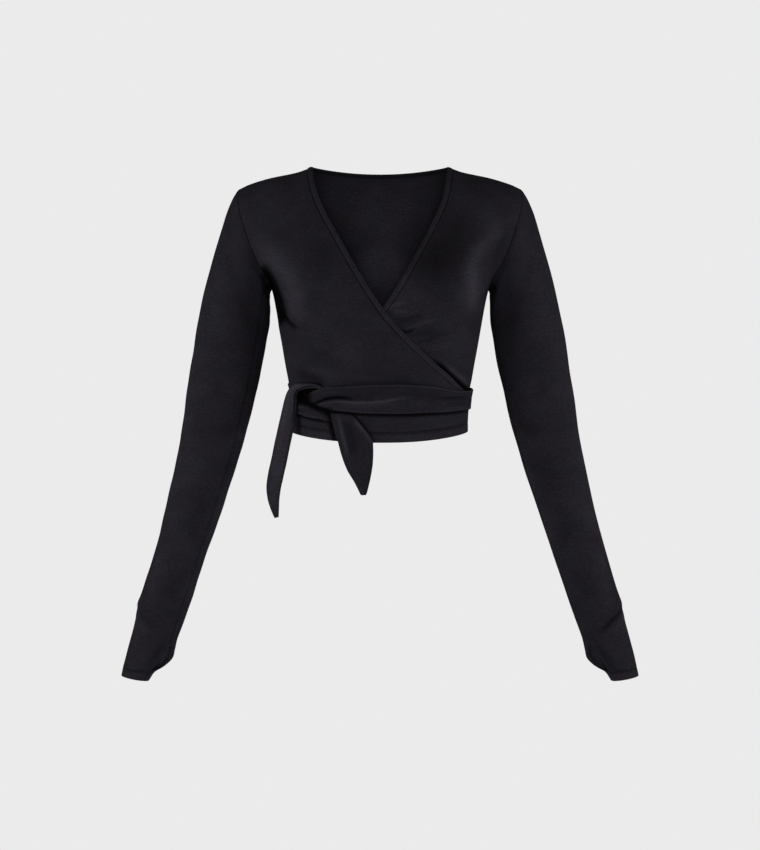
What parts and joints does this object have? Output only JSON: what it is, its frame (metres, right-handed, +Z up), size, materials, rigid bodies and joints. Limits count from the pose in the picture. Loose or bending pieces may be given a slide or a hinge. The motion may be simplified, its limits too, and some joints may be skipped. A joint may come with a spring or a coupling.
{
  "type": "wrap top",
  "caption": "Cropped long-sleeved wrap top with a V neck, crossed fronts, thumb-hole cuffs and a knotted waist sash, in worn shape.",
  "frame": {"origin": "Midway between the two neck points, at their height, where the wearer's shoulders and neck hold the garment.", "axes": "+Z up, the front faces -Y, +X towards the wearer's left hand."},
  "size_m": [0.7034, 0.2242, 0.6951],
  "materials": {
    "jersey": "matt jersey with a soft sheen and a fine slubbed grain",
    "band": "doubled jersey, topstitched",
    "sash": "doubled jersey, matt"
  },
  "bodies": {
    "root": {"back": "jersey", "front_over": "jersey", "front_under": "jersey", "sleeve_right": "jersey", "sleeve_left": "jersey", "neck_band_over": "band", "neck_band_under": "band", "neck_band_back": "band", "sash_front": "sash", "tie_outer_back": "sash", "tie_inner_back": "sash", "sash_end_long": "sash", "sash_end_short": "sash"}
  },
  "joints": []
}
